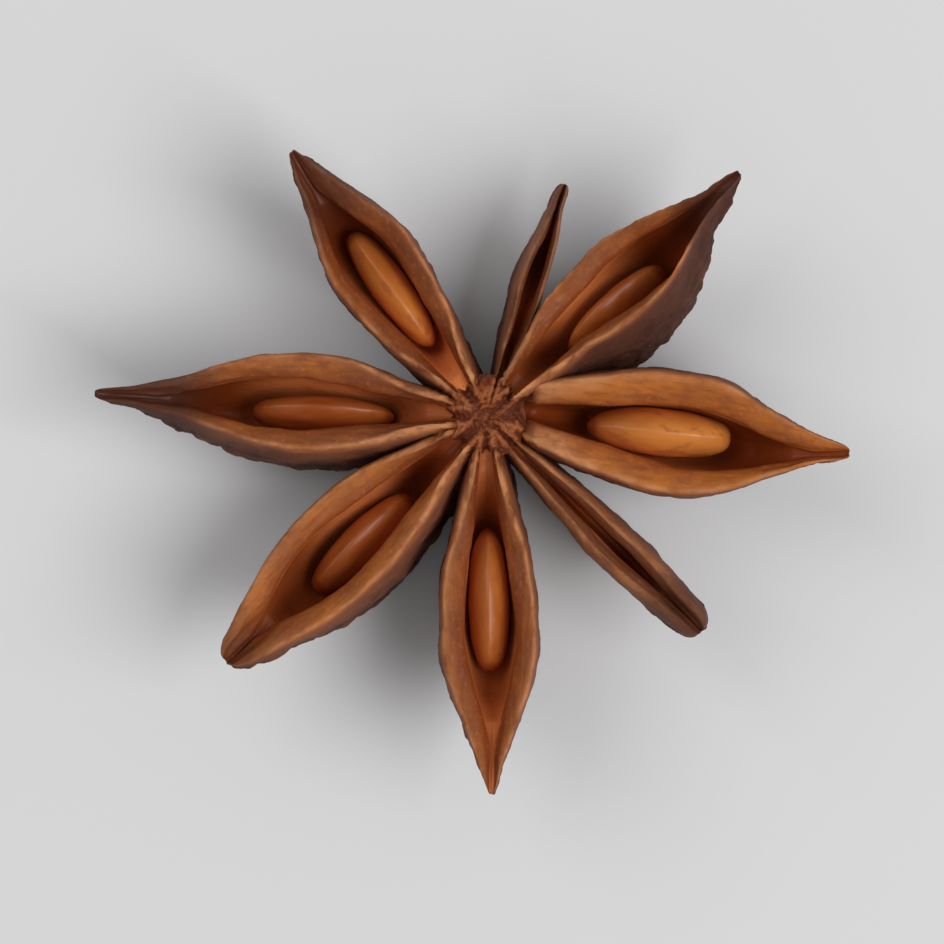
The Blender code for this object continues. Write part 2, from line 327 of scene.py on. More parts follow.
class Bench:
    """Lays out the nodes of one material."""

    def __init__(self, name: str) -> None:
        """Starts a material with a Principled shader.

        Args:
            name: the material's name.
        """
        self.material = bpy.data.materials.new(name)
        self.material.use_nodes = True
        self.tree = self.material.node_tree
        self.shader = self.tree.nodes["Principled BSDF"]

    def feed(self, socket: bpy.types.NodeSocket, value: object) -> None:
        """Links an output to an input, or sets its plain value.

        Args:
            socket: the input.
            value: an output, a number or a colour.
        """
        if isinstance(value, bpy.types.NodeSocket):
            self.tree.links.new(value, socket)
        elif socket.type == "RGBA":
            socket.default_value = (*value, 1.0)
        else:
            socket.default_value = value

    def read(self, mark: Mark) -> bpy.types.NodeSocket:
        """The piece's own value of a mark.

        Args:
            mark: the mark.

        Returns:
            Its value at each point, or its place for the grain.
        """
        node = self.tree.nodes.new("ShaderNodeAttribute")
        node.attribute_name = mark.value
        return node.outputs["Vector" if mark is Mark.GRAIN else "Fac"]

    def maths(self, operation: str, *values: object) -> bpy.types.NodeSocket:
        """The result of a Math node.

        Args:
            operation: its operation.
            values: its inputs, as outputs or numbers.

        Returns:
            The result.
        """
        node = self.tree.nodes.new("ShaderNodeMath")
        node.operation = operation
        for socket, value in zip(node.inputs, values):
            self.feed(socket, value)
        return node.outputs[0]

    def mix(self, share: object, low: object, high: object) -> bpy.types.NodeSocket:
        """A colour between two.

        Args:
            share: how much of high, from 0 to 1.
            low: the first colour.
            high: the second colour.

        Returns:
            The blended colour.
        """
        node = self.tree.nodes.new("ShaderNodeMix")
        node.data_type = "RGBA"
        sockets = [socket for socket in node.inputs if socket.enabled]
        for socket, value in zip(sockets, (share, low, high)):
            self.feed(socket, value)
        return next(socket for socket in node.outputs if socket.enabled)

    def noise(self, scale: tuple[float, float, float], detail: float = 3.0,
              rough: float = 0.55) -> bpy.types.NodeSocket:
        """Noise that clings to the piece.

        Args:
            scale: how fine it is along, across and up the piece, per millimetre.
            detail: its finer layers.
            rough: how strong those are.

        Returns:
            Values round 0.5.
        """
        stretch = self.tree.nodes.new("ShaderNodeVectorMath")
        stretch.operation = "MULTIPLY"
        self.feed(stretch.inputs[0], self.read(Mark.GRAIN))
        stretch.inputs[1].default_value = scale
        node = self.tree.nodes.new("ShaderNodeTexNoise")
        node.inputs["Scale"].default_value = 1.0
        node.inputs["Detail"].default_value = detail
        node.inputs["Roughness"].default_value = rough
        self.feed(node.inputs["Vector"], stretch.outputs[0])
        return node.outputs["Fac"]

    def spread(self, value: object, low: float, high: float) -> bpy.types.NodeSocket:
        """Eases a value from 0 to 1.

        Args:
            value: what is eased.
            low: where it starts to rise.
            high: where it has risen.

        Returns:
            The eased value.
        """
        node = self.tree.nodes.new("ShaderNodeMapRange")
        node.interpolation_type = "SMOOTHSTEP"
        self.feed(node.inputs["Value"], value)
        node.inputs["From Min"].default_value = low
        node.inputs["From Max"].default_value = high
        return node.outputs["Result"]

    def raise_grain(self, height: object, depth_mm: float) -> None:
        """Bumps the surface by a height field.

        Args:
            height: values from 0 to 1.
            depth_mm: how deep the field is, in millimetres.
        """
        node = self.tree.nodes.new("ShaderNodeBump")
        node.inputs["Distance"].default_value = depth_mm * MM
        self.feed(node.inputs["Height"], height)
        self.tree.links.new(node.outputs["Normal"], self.shader.inputs["Normal"])


@dataclass(frozen=True)
class HuskFinish:
    """Dried husk: tan lips, a red-brown lining and a rough dark outside."""

    wall: Colour = (0.120, 0.043, 0.023)
    wall_high: Colour = (0.270, 0.090, 0.042)
    # painted shade in the furrows of the outside
    furrow_shade: Colour = (0.040, 0.014, 0.008)
    pad: Colour = (0.240, 0.110, 0.066)
    # the pale crest of a lip, partly its real lighter rim and partly painted highlight
    rim: Colour = (0.620, 0.258, 0.105)
    lip_dark: Colour = (0.190, 0.044, 0.012)
    lip_light: Colour = (0.560, 0.168, 0.026)
    blush: Colour = (0.300, 0.078, 0.028)
    dull: Colour = (0.190, 0.086, 0.048)
    edge: Colour = (0.270, 0.045, 0.006)
    # the cavity's red-brown lining in painted shade
    lining_painted_shade: Colour = (0.225, 0.041, 0.008)
    # the same lining in painted light
    lining_painted_light: Colour = (0.760, 0.240, 0.070)
    # the dark tip, also used for painted shade on the outside of a carpel
    beak: Colour = (0.075, 0.024, 0.015)
    crown: Colour = (0.420, 0.113, 0.028)
    # painted shade in the pits of the crown
    crown_pit_shade: Colour = (0.120, 0.024, 0.008)

    def wall_colour(self, bench: Bench, fine: object) -> bpy.types.NodeSocket:
        """Light pads, and furrows darkened with painted shade, greyer towards the keel.

        Args:
            bench: the material being laid out.
            fine: fine noise.

        Returns:
            The colour of the outside.
        """
        relief = bench.read(Mark.RELIEF)
        skin = bench.mix(bench.spread(bench.read(Mark.LOW), 0.02, 0.30), self.wall_high, self.wall)
        # Painted shade: the furrows, where the relief sinks, are darkened.
        colour = bench.mix(bench.spread(relief, -0.12, 0.02), self.furrow_shade, skin)
        colour = bench.mix(bench.spread(relief, 0.02, 0.14), colour, self.pad)
        speck = bench.maths("MULTIPLY", bench.spread(fine, 0.52, 0.68), 0.6)
        speck = bench.maths("MULTIPLY", speck, bench.spread(bench.read(Mark.LOW), 0.05, 0.35))
        return bench.mix(speck, colour, self.pad)

    def lip_colour(self, bench: Bench) -> bpy.types.NodeSocket:
        """Tan to red-brown, clouded, and redder towards the inner edge.

        Args:
            bench: the material being laid out.

        Returns:
            The colour of the lips.
        """
        cloud = bench.noise((0.45, 0.9, 0.9), 3.0)
        patch = bench.noise((0.8, 1.3, 1.3), 3.0, 0.6)
        streak = bench.noise((0.6, 5.0, 5.0), 3.0, 0.55)
        drift = bench.maths("MULTIPLY", bench.maths("SUBTRACT", cloud, 0.5), 1.5)
        tone = bench.maths("ADD", bench.read(Mark.TONE_AND_PAINTED_LIGHT), drift)
        colour = bench.mix(bench.spread(tone, -0.1, 1.1), self.lip_dark, self.lip_light)
        # Painted highlight: lips lighter than lip_light turn towards the rim colour.
        colour = bench.mix(bench.spread(tone, 1.0, 1.9), colour, self.rim)
        patch = bench.maths("MULTIPLY", bench.spread(patch, 0.50, 0.66), 0.55)
        colour = bench.mix(patch, colour, self.blush)
        colour = bench.mix(bench.maths("MULTIPLY", bench.read(Mark.EDGE), 0.85), colour, self.edge)
        colour = bench.mix(bench.read(Mark.DULL), colour, self.dull)
        # Painted glints: small pale specks of the rim colour scattered over the lips.
        painted_glint = bench.spread(bench.noise((4.0, 6.0, 6.0), 3.0), 0.54, 0.72)
        colour = bench.mix(bench.maths("MULTIPLY", painted_glint, 0.22), colour, self.rim)
        line = bench.maths("MULTIPLY", bench.spread(streak, 0.46, 0.68), 0.36)
        return bench.mix(line, colour, self.lip_dark)

    def build(self) -> bpy.types.Material:
        """Lays out the husk's material.

        Returns:
            The material, for carpels and column alike.
        """
        bench = Bench("husk")
        fine = bench.noise((2.4, 3.4, 3.4), 4.0, 0.62)
        colour = bench.mix(bench.read(Mark.LIP), self.wall_colour(bench, fine), self.lip_colour(bench))
        # Painted shade: the crown darkens where its relief sinks into pits.
        knob = bench.spread(bench.read(Mark.RELIEF), -0.07, 0.12)
        crown = bench.mix(knob, self.crown_pit_shade, self.crown)
        colour = bench.mix(bench.read(Mark.CROWN), colour, crown)
        # The lip crests pale in patches: partly the real lighter rim, partly painted highlight.
        pale_crest_and_highlight = bench.spread(bench.noise((0.7, 1.5, 1.5), 4.0, 0.6), 0.30, 0.66)
        pale_crest_and_highlight = bench.maths("MULTIPLY", bench.read(Mark.RIM), bench.maths("MULTIPLY", pale_crest_and_highlight, 0.85))
        colour = bench.mix(pale_crest_and_highlight, colour, self.rim)
        # Painted light and shade on the lining: one red-brown in a shaded and a lit copy.
        lining = bench.mix(bench.read(Mark.TONE_AND_PAINTED_LIGHT), self.lining_painted_shade, self.lining_painted_light)
        colour = bench.mix(bench.read(Mark.LINING), colour, lining)
        colour = bench.mix(bench.read(Mark.DARK_TIP_AND_PAINTED_SHADE), colour, self.beak)
        bench.feed(bench.shader.inputs["Base Color"], colour)
        bench.shader.inputs["Specular IOR Level"].default_value = 0.18
        matt = bench.maths("MULTIPLY_ADD", bench.read(Mark.LINING), -0.16, 0.50)
        matt = bench.maths("MULTIPLY_ADD", bench.read(Mark.WALL), 0.2, matt)
        bench.feed(bench.shader.inputs["Roughness"], matt)
        coarse = bench.maths("MULTIPLY_ADD", bench.read(Mark.WALL), 0.6, 0.4)
        bench.raise_grain(bench.maths("MULTIPLY", fine, coarse), 0.10)
        return bench.material


@dataclass(frozen=True)
class SeedFinish:
    """Hard, glossy orange-brown seed coat."""

    dark: Colour = (0.260, 0.045, 0.007)
    light: Colour = (0.720, 0.245, 0.045)
    blush: Colour = (0.360, 0.088, 0.028)

    def build(self) -> bpy.types.Material:
        """Lays out the seeds' material.

        Returns:
            The material.
        """
        bench = Bench("seed_coat")
        cloud = bench.noise((0.35, 0.8, 0.8), 3.0)
        drift = bench.maths("SUBTRACT", cloud, 0.5)
        tone = bench.maths("ADD", bench.read(Mark.TONE_AND_PAINTED_LIGHT), drift)
        colour = bench.mix(bench.spread(tone, -0.1, 1.1), self.dark, self.light)
        patch = bench.spread(bench.noise((0.7, 1.6, 1.6), 3.0, 0.6), 0.48, 0.66)
        colour = bench.mix(bench.maths("MULTIPLY", patch, 0.6), colour, self.blush)
        bench.feed(bench.shader.inputs["Base Color"], colour)
        bench.shader.inputs["Roughness"].default_value = 0.34
        bench.shader.inputs["Specular IOR Level"].default_value = 0.35
        bench.shader.inputs["Coat Weight"].default_value = 0.10
        bench.shader.inputs["Coat Roughness"].default_value = 0.28
        bench.raise_grain(bench.noise((1.5, 3.0, 3.0), 2.0), 0.02)
        return bench.material


@dataclass(frozen=True)
class FloorFinish:
    """Matt white board."""

    colour: Colour = (0.80, 0.80, 0.81)

    def build(self) -> bpy.types.Material:
        """Lays out the floor's material.

        Returns:
            The material.
        """
        bench = Bench("pale_floor")
        bench.feed(bench.shader.inputs["Base Color"], self.colour)
        bench.shader.inputs["Roughness"].default_value = 0.75
        return bench.material


def knobs(points: Array) -> Array:
    """Relief of the shrunken flesh where the lips run together, in millimetres.

    Args:
        points: places in the pod's own directions, in millimetres.

    Returns:
        One value for each place.
    """
    noise = Noise(77)
    return 0.08 * noise.pads(noise.shaken(points, 0.25) * 2.8, 3)


@dataclass
class Carpel:
    """One follicle of the husk. Its bearing runs anticlockwise from +X, and so does its left side."""

    name: str
    bearing: float  # degrees
    length: float  # from the column's axis to the tip
    half_width: float  # over the lips, at the widest
    gape: float  # half the opening between the lips, at the widest
    depth: float  # from the lips to the keel
    widest: float = 0.55  # where along the length it is widest
    beak: float = 1.1  # how slender the outer end is
    tip: float = 0.1  # half-width of the tip as a share of half_width
    heel: float = 0.16  # the same at the column
    shut: float = 0.97  # where along the length the lips meet
    closing: float = 0.42  # share of the length over which they run together
    shift: float = 0.0  # how far the opening lies to the left of the middle
    swing: float = 0.0  # how far the inner end lies to the left of the bearing
    roll: float = 0.0  # lean in degrees: above 0 shows more of the right wall
    rise: float = 0.6  # how far the tip lies above the other lips
    drop: float = 0.0  # how far the whole carpel sits below the others
    wave: float = 0.0  # phase of the keel's waviness, in radians
    lip_start: float = 1.1  # radius at which the lips dive under the crown
    flare: float = 0.45  # how far the walls bulge at the column
    pinch: float = 1.0  # how far the lips narrow to thin crests at the column
    thin: float = 0.0  # how far they do so all along
    tone: float = 0.5  # how light the lips are, from 0 to 1
    root_tone: float = 0.1  # the same at the column; above 1 it is a painted highlight
    dark_tip: float = 0.4  # how dark the beak is, from 0 to 1
    dark_from: float = 0.80  # where along the length the beak begins to darken
    painted_light_near: float = 0.5  # painted light in the cavity towards the column, from 0 to 1
    painted_light_far: float = 0.0  # the same towards the tip
    dull: float = 0.1  # how grey-brown the lips are, from 0 to 1
    painted_wall_shade: float = 0.0  # painted shade on the outside, from 0 to 1
    seed: int = 1  # of the carpel's own lumps and wrinkles
    rows: int = 160  # rings along the carpel

    FLOOR: ClassVar[float] = 6.85  # from the lips of a level carpel down to what it lies on
    PRESSED: ClassVar[float] = 0.05  # height over which its keel is worn flat there
    PIVOT: ClassVar[float] = 2.0  # depth of the axis about which it leans
    INNER_END: ClassVar[float] = 1.2  # radius at which its walls end, inside the column
    HUB_DIP: ClassVar[float] = 0.7  # how far the lips sink towards the column
    SHOULDER: ClassVar[float] = 0.5  # how far the outer edge of a lip drops below its crest
    BEVEL: ClassVar[float] = 0.6  # how far its inner edge drops
    CAVITY: ClassVar[float] = 0.66  # depth of the cavity as a share of the carpel's depth
    KEEL: ClassVar[float] = 0.34  # half-width of the keel
    BELLY: ClassVar[float] = 0.10  # bulge of the walls as a share of the half-width
    CREST: ClassVar[float] = 0.22  # how far in from a lip's outer edge its crest lies
    THIN_CREST: ClassVar[float] = 0.66  # the same where the lip is thin
    DEEPEST: ClassVar[float] = 0.72  # most of the depth that the cavity takes up at a tip
    WIDEST_GAPE: ClassVar[float] = 0.72  # most of the width that the opening takes up
    CREASE: ClassVar[float] = 0.09  # opening of the shut lips as a share of the gape
    BLUNT: ClassVar[float] = 0.05  # share of the length over which the very tip rounds off
    BLUNTEST: ClassVar[float] = 0.3  # half-width of the very end as a share of the tip's
    RIPPLE: ClassVar[float] = 0.025  # waviness of the keel as a share of its depth
    TIP_DEPTH: ClassVar[float] = 0.07  # depth of the tip as a share of the deepest section
    SPARE: ClassVar[float] = 0.4  # most of a lip's width by which the opening shifts
    SWAY: ClassVar[float] = 0.10  # how far the walls and lips wander sideways
    LIFT: ClassVar[float] = 0.08  # how far the lips wander up and down
    OUTER_EDGE: ClassVar[int] = 8  # knot at the outer edge of a lip
    INNER_EDGE: ClassVar[int] = 13  # knot at the edge of the cavity
    FULL_GROWN: ClassVar[float] = 1.3  # half-width from which the wrinkles are at their deepest
    TURNS: ClassVar[tuple[float, ...]] = (0.85, 0.70, 0.56, 0.42, 0.28, 0.14)
    SHARES: ClassVar[list[int]] = [3, 4] + [9] * 6 + [5, 6, 8, 7, 4] + [6] * 5

    def stations(self) -> Array:
        """Where the rings lie, from the inner end to the tip.

        Returns:
            Shares of the length, closer together towards the tip.
        """
        share = np.linspace(0.0, 1.0, self.rows)
        first = self.INNER_END / self.length
        return first + (1.0 - first) * (1.0 - (1.0 - share) ** 1.2)

    def width_at(self, s: Array) -> Array:
        """Half-width over the lips.

        Args:
            s: the stations.

        Returns:
            One value for each.
        """
        swell = np.sin(0.5 * np.pi * np.minimum(s / self.widest, 1.0)) ** 1.35
        inner = self.heel + (1.0 - self.heel) * swell
        turn = 0.5 * np.pi * np.clip((s - self.widest) / (1.0 - self.widest), 0.0, 1.0)
        outer = self.tip + (1.0 - self.tip) * np.clip(np.cos(turn), 0.0, 1.0) ** self.beak
        past = np.clip(1.0 - (1.0 - s) / self.BLUNT, 0.0, 1.0)
        blunt = self.BLUNTEST + (1.0 - self.BLUNTEST) * np.sqrt(1.0 - past**2)
        return self.half_width * np.where(s < self.widest, inner, outer) * blunt

    def gape_at(self, s: Array) -> Array:
        """Half the opening, which closes to a crease before the tip.

        Args:
            s: the stations.

        Returns:
            One value for each.
        """
        closes = np.clip((self.shut - s) / self.closing, 0.0, 1.0)
        opens = np.clip(s / self.widest, 0.0, 1.0) ** 0.95
        return self.gape * np.maximum(opens * np.sin(0.5 * np.pi * closes) ** 1.8, self.CREASE)

    def depth_at(self, s: Array) -> Array:
        """Depth of the keel.

        Args:
            s: the stations.

        Returns:
            One value for each.
        """
        belly = np.sin(np.pi * np.clip(0.22 + 0.70 * s, 0.0, 1.0))
        ending = np.sin(0.5 * np.pi * np.minimum((1.0 - s) / 0.45, 1.0)) ** 0.8
        ripple = 1.0 + self.RIPPLE * np.sin(19.0 * s + self.wave)
        return self.depth * (self.TIP_DEPTH + (1.0 - self.TIP_DEPTH) * belly * ending) * ripple

    def half_sections(self, s: Array) -> Array:
        """Outline knots of one half, from the keel over the lip to the cavity floor.

        Args:
            s: the stations.

        Returns:
            Array of (stations, knots, 2): distance from the middle, height above the lips.
        """
        width = self.width_at(s)
        opening = np.minimum(self.gape_at(s), self.WIDEST_GAPE * width)
        depth = self.depth_at(s)
        size = np.minimum(1.0, width / (0.6 * self.half_width))
        shoulder = self.SHOULDER * size
        bevel = self.BEVEL * size
        keel = np.minimum(self.KEEL, 0.5 * width)
        bulge = self.BELLY * width + self.flare * np.clip(1.0 - s / 0.38, 0.0, 1.0)
        lip = width - opening
        slim = np.maximum(self.pinch * smooth(0.36, 0.14, s), self.thin)
        crest = (self.CREST + (self.THIN_CREST - self.CREST) * slim) * lip
        shoulder = shoulder * (1.0 + 1.3 * slim)
        closed = 1.0 - np.minimum(1.0, opening / (0.35 * self.gape))
        inner = (0.07 + 0.25 * closed * (s > self.widest)) * lip
        floor = self.CAVITY * depth * np.minimum(1.0, opening / (0.55 * self.gape))
        open_from = 0.02 + 0.08 * self.pinch
        floor = floor * (0.30 + 0.70 * smooth(open_from, 0.12 + 2.1 * open_from, s))
        hollow = np.maximum(0.5 * size, floor - bevel)
        room = np.minimum(1.0, self.DEEPEST * depth / (bevel + hollow))
        bevel, hollow = room * bevel, room * hollow
        cavity = opening + 0.05 * size
        knots = [(0.0 * s, -depth), (0.75 * keel, 0.22 * keel - depth)]
        for share in self.TURNS:
            turn = 0.5 * math.pi * share
            across = keel + (width - keel) * math.cos(turn) + bulge * math.sin(2.0 * turn)
            knots.append((across, -shoulder - (depth - shoulder) * math.sin(turn)))
        knots += [
            (width, -shoulder),
            (width - 0.28 * crest, -0.36 * shoulder),
            (width - crest, 0.0 * s),
            (width - crest - 0.45 * (lip - crest), -0.24 * bevel),
            (opening + np.minimum(inner, 0.4 * (lip - crest)), -0.78 * bevel),
            (opening, -bevel - 0.18 * room * size),
            (0.99 * cavity, -bevel - 0.22 * hollow),
            (0.91 * cavity, -bevel - 0.48 * hollow),
            (0.72 * cavity, -bevel - 0.75 * hollow),
            (0.40 * cavity, -bevel - 0.94 * hollow),
            (0.0 * s, -bevel - hollow),
        ]
        return np.stack([np.stack(knot, axis=-1) for knot in knots], axis=1)

    def half_marks(self) -> dict[Mark, Array]:
        """Marks along a half outline.

        Returns:
            For each mark, its values from the keel to the cavity floor.
        """
        ticks = self.ticks()
        return {
            Mark.WALL: 1.0 - smooth(7.8, 9.3, ticks),
            Mark.RIM: bell(ticks, 9.7, 0.5),
            Mark.LIP: smooth(8.7, 9.7, ticks) * (1.0 - smooth(12.6, 13.0, ticks)),
            Mark.EDGE: smooth(10.6, 12.9, ticks),
            Mark.LINING: smooth(12.6, 13.0, ticks),
            Mark.LOW: np.interp(ticks, [0.0, 8.5, 18.0], [1.0, 0.0, 0.0]),
        }

    def place(self, s: Array, across: Array, height: Array) -> Array:
        """Points of the pod in millimetres.

        Args:
            s: shares of the length.
            across: distances to the left of the middle.
            height: heights above the carpel's lips.

        Returns:
            Array of (..., 3).
        """
        lean = math.radians(self.roll) * np.minimum(1.0, s / 0.35)
        below = height + self.PIVOT
        y = across * np.cos(lean) + below * np.sin(lean) + self.swing * (1.0 - s) ** 2
        z = below * np.cos(lean) - across * np.sin(lean) - self.PIVOT
        z = z + self.rise * s**3 - self.HUB_DIP * (1.0 - s) ** 3 - self.drop
        z = z - 0.8 * smooth(self.lip_start + 0.45, self.lip_start - 0.35, self.length * s)
        turn = math.radians(self.bearing)
        x = self.length * s
        across_x = x * math.cos(turn) - y * math.sin(turn)
        across_y = x * math.sin(turn) + y * math.cos(turn)
        return np.stack([across_x, across_y, z], axis=-1)

    def skin(self) -> Skin:
        """The carpel's whole surface with its wrinkles.

        Returns:
            The grid, ready to build.
        """
        s = self.stations()
        knots = self.half_sections(s)
        half = np.concatenate([spline(knots, self.SHARES), knots[:, -1:]], axis=1)
        marks = self.half_marks()
        noise = Noise(self.seed)
        across, height = [], []
        spare = self.SPARE * (knots[:, self.OUTER_EDGE, 0] - knots[:, self.INNER_EDGE, 0])
        askew = np.clip(self.shift * np.sin(np.pi * s**3), -spare, spare)[:, None]
        for side in (1.0, -1.0):
            run = [0.55 * self.length * s, 0.0 * s + 9.0 * side, 0.0 * s + self.seed]
            place = np.stack(run, axis=-1)
            sway = self.SWAY * noise.lumps(place * 0.7, 2)[:, None] * (1.0 - marks[Mark.LINING])
            sway = sway * smooth(0.05, 0.22, s)[:, None] * smooth(1.0, 0.9, s)[:, None]
            lifted = self.LIFT * noise.lumps(place * 1.1 + 50.0, 2)[:, None] * (1.0 - marks[Mark.LOW])
            inward = marks[Mark.LIP] * smooth(10.0, 12.0, self.ticks()) + marks[Mark.LINING]
            across.append(side * (half[..., 0] + sway) + askew * np.clip(inward, 0.0, 1.0))
            height.append(half[..., 1] + lifted)
        across = np.concatenate([across[0], across[1][:, -2:0:-1]], axis=1)
        height = np.concatenate([height[0], height[1][:, -2:0:-1]], axis=1)
        along = np.broadcast_to(s[:, None], across.shape)
        grain = np.stack([along * self.length + 40.0 * self.seed, across, height], axis=-1)
        full = {mark: np.concatenate([row, row[-2:0:-1]]) for mark, row in marks.items()}
        full = {mark: np.broadcast_to(row, across.shape) for mark, row in full.items()}
        full[Mark.DARK_TIP_AND_PAINTED_SHADE] = self.dark_tip * smooth(self.dark_from, self.dark_from + 0.17, along)
        # Painted shade: the outside of a carpel takes the tip's dark colour as far as asked.
        full[Mark.DARK_TIP_AND_PAINTED_SHADE] = np.maximum(full[Mark.DARK_TIP_AND_PAINTED_SHADE], self.painted_wall_shade * full[Mark.WALL])
        lip_tone = self.tone + (self.root_tone - self.tone) * smooth(0.40, 0.14, along)
        # Painted light and shade in the cavity: the lining is lightest round the seed and darker
        # towards both ends, as set per carpel.
        near, far = smooth(0.38, 0.22, along), smooth(0.45, 0.68, along)
        lit = 1.0 - (1.0 - self.painted_light_near) * near - (1.0 - self.painted_light_far) * far
        full[Mark.TONE_AND_PAINTED_LIGHT] = lip_tone + (lit - lip_tone) * full[Mark.LINING]
        full[Mark.DULL] = np.full(across.shape, self.dull)
        # The pale crest, partly real and partly painted highlight, grows paler towards the column.
        pale = (1.0 + 0.8 * smooth(0.45, 0.20, along)) * (1.0 - 0.7 * self.dull)
        full[Mark.RIM] = full[Mark.RIM] * pale * smooth(1.15, 1.75, along * self.length)
        above = smooth(0.25, 0.05, full[Mark.LOW]) * (1.0 - full[Mark.LINING])
        full[Mark.CROWN] = smooth(2.8, 1.4, along * self.length) * above
        full[Mark.GRAIN] = grain
        skin = Skin("carpel_" + self.name, self.place(along, across, height), full)
        skin.raise_by(self.relief(noise, grain, full) + full[Mark.CROWN] * knobs(skin.points))
        low = skin.points[..., 2] + self.FLOOR
        pressed = self.PRESSED * np.exp(np.minimum(low / self.PRESSED, 1.0) - 1.0)
        skin.points[..., 2] = np.where(low < self.PRESSED, pressed, low) - self.FLOOR
        return skin

    def ticks(self) -> Array:
        """Where each point of a half outline lies among its knots."""
        return np.concatenate([k + np.arange(n) / n for k, n in enumerate(self.SHARES)] + [[18.0]])

    def relief(self, noise: Noise, grain: Array, marks: dict[Mark, Array]) -> Array:
        """How far each point stands out from the plain form, in millimetres.

        Args:
            noise: the carpel's own noise.
            grain: places in the carpel's own directions.
            marks: the marks of the whole outline.

        Returns:
            Array of (rows, columns).
        """
        shaken = noise.shaken(grain, 0.45)
        folds = noise.pads(shaken * np.array([0.55, 1.0, 0.95]), 3)
        lumps = noise.lumps(grain * 0.45 + 40.0)
        ragged = noise.lumps(grain * 1.7 + 120.0)
        streaks = noise.lumps(grain * np.array([0.5, 3.2, 3.2]) + 90.0, 2)
        low = 0.22 + 0.78 * smooth(0.05, 0.45, marks[Mark.LOW])
        slight = min(1.0, self.half_width / self.FULL_GROWN)
        wall = slight * low * (0.11 * folds + 0.13 * lumps)
        keel = 0.14 * smooth(0.8, 1.0, marks[Mark.LOW]) * noise.lumps(grain * 1.1 + 160.0)
        lip = 0.045 * lumps + 0.020 * streaks + 0.018 * ragged
        rim = 0.035 * ragged
        total = marks[Mark.WALL] * wall + keel + marks[Mark.RIM] * rim
        total = total + marks[Mark.LIP] * lip * (1.0 - marks[Mark.CROWN])
        return total + marks[Mark.LINING] * 0.03 * lumps


@dataclass
class Column:
    """The woody column, with the knobbly crown above and the stalk scar below."""

    carpels: list[Carpel] = field(default_factory=list)
    sides: int = 280
    seed: int = 77

    PROFILE: ClassVar[tuple[tuple[float, float], ...]] = (
        (0.02, 5.80), (0.60, 5.78), (1.10, 5.72), (1.28, 5.95), (1.50, 6.10), (1.78, 6.02),
        (1.92, 5.60), (1.70, 4.60), (1.55, 3.60), (1.55, 2.60), (1.72, 1.75), (1.84, 1.36),
        (1.66, 1.02), (1.28, 0.80), (0.85, 0.72), (0.45, 0.80), (0.15, 0.90), (0.02, 0.93),
    )
    SHARES: ClassVar[list[int]] = [4, 5, 5, 5, 6, 6, 8, 8, 8, 10, 10, 10, 12, 14, 14, 11, 7]

    def skin(self) -> Skin:
        """The column's whole surface, ridged where the lips run into the crown.

        Returns:
            The grid, ready to build.
        """
        profile = spline(np.array([self.PROFILE]), self.SHARES)[0]
        radius, depth = profile[:, 0][:, None], profile[:, 1][:, None]
        turn = 2.0 * np.pi * np.arange(self.sides)[None] / self.sides
        x, y, z = radius * np.cos(turn), radius * np.sin(turn), -depth + 0.0 * turn
        top = smooth(1.9, 0.95, -z)
        ridge, seam = np.zeros_like(x), np.zeros_like(x)
        for carpel in self.carpels:
            bearing = math.radians(carpel.bearing)
            ahead = x * math.cos(bearing) + y * math.sin(bearing)
            aside = y * math.cos(bearing) - x * math.sin(bearing)
            middle = carpel.swing * (1.0 - ahead / carpel.length) ** 2
            crest = 0.8 * carpel.heel * carpel.half_width
            fade = smooth(0.3, 0.9, ahead)
            run = fade * smooth(1.85, 1.40, ahead)
            ridge = np.maximum(ridge, run * bell(np.abs(aside - middle), crest, 0.15))
            deeper = 1.0 + 2.0 * smooth(1.0, 1.8, ahead)
            seam = np.maximum(seam, fade * deeper * bell(aside, middle, 0.6 * crest))
        noise = Noise(self.seed)
        grain = np.stack([x, y, z], axis=-1)
        wall = 0.06 * noise.pads(grain * np.array([1.0, 1.0, 0.5]) * 1.3)
        relief = top * (0.15 * ridge - 0.10 * seam + knobs(grain)) + (1.0 - top) * wall
        flat = np.zeros_like(x)
        marks = {
            Mark.WALL: 1.0 - top,
            Mark.RIM: flat,
            Mark.LIP: flat,
            Mark.EDGE: flat,
            Mark.LINING: (1.0 - top) * smooth(4.2, 3.2, -z),
            Mark.LOW: 1.0 - top,
            Mark.CROWN: top * (1.0 - 0.4 * ridge),
            Mark.DARK_TIP_AND_PAINTED_SHADE: flat,
            Mark.DULL: flat,
            # The column's flanks down in a cavity take the lining mostly in painted shade.
            Mark.TONE_AND_PAINTED_LIGHT: flat + 0.2,
            Mark.GRAIN: grain,
        }
        skin = Skin("column", grain, marks)
        skin.raise_by(relief)
        return skin


